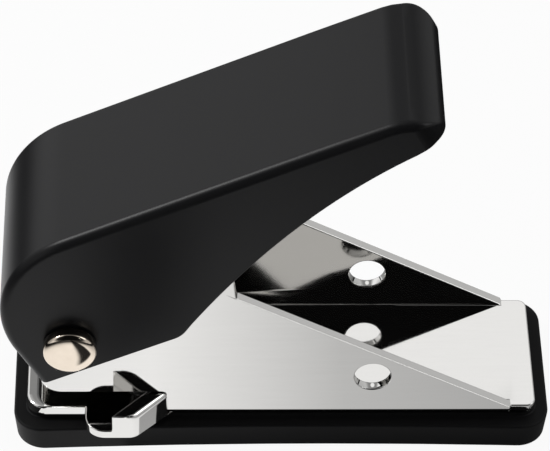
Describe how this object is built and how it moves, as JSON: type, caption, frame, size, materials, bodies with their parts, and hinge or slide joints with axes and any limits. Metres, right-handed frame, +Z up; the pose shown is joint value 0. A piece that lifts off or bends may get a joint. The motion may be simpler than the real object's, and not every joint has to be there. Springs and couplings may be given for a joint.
{
  "type": "dart flight punch",
  "caption": "Hand punch for dart flights: plated frame with a V-guided throat on a black chip tray, and a sprung lever that drives a small round punch through a die.",
  "frame": {"origin": "middle of the flat underside of the chip tray, on the surface the punch stands on", "axes": "+X from the throat to the tip of the lever, +Y to the far side, +Z up"},
  "size_m": [0.0834, 0.0332, 0.0671],
  "materials": {
    "tray_rubber": "matte",
    "frame_chrome": "polished",
    "hardened_steel": "ground",
    "zinc_steel": "zinc plated",
    "spring_steel": "drawn wire",
    "rivet_nickel": "polished nickel",
    "washer_nylon": "natural",
    "lever_paint": "satin powder coat"
  },
  "bodies": {
    "tray": {"chip_tray": "tray_rubber"},
    "frame": {"frame": "frame_chrome", "die_bush": "hardened_steel", "guide_bush": "hardened_steel", "punch_spring": "spring_steel", "pivot_rivet": "rivet_nickel", "pivot_rivet_cap": "rivet_nickel", "pivot_sleeve": "zinc_steel", "near_pivot_washer": "washer_nylon", "far_pivot_washer": "washer_nylon"},
    "lever": {"lever_shell": "lever_paint", "drive_bracket": "zinc_steel", "drive_pin": "hardened_steel"},
    "punch": {"punch_pin": "hardened_steel", "punch_head_washer": "zinc_steel"}
  },
  "joints": [
    {"name": "tray_release", "type": "slide", "parent": "tray", "child": "frame", "axis": [0, 0, 1], "range_m": [0, 0.008]},
    {"name": "lever_hinge", "type": "hinge", "parent": "frame", "child": "lever", "pos_m": [-0.032, 0, 0.0227], "axis": [0, 1, 0], "range_deg": [0, 26.3], "stiffness_Nm_per_rad": 0.2, "springref_deg": -28.65},
    {"name": "punch_slide", "type": "slide", "parent": "frame", "child": "punch", "axis": [0, 0, -1], "range_m": [0, 0.00535], "deforming": ["punch_spring"]}
  ],
  "couplings": [
    {"joint": "punch_slide", "follows": "lever_hinge", "m_per_rad": 0.011583}
  ]
}
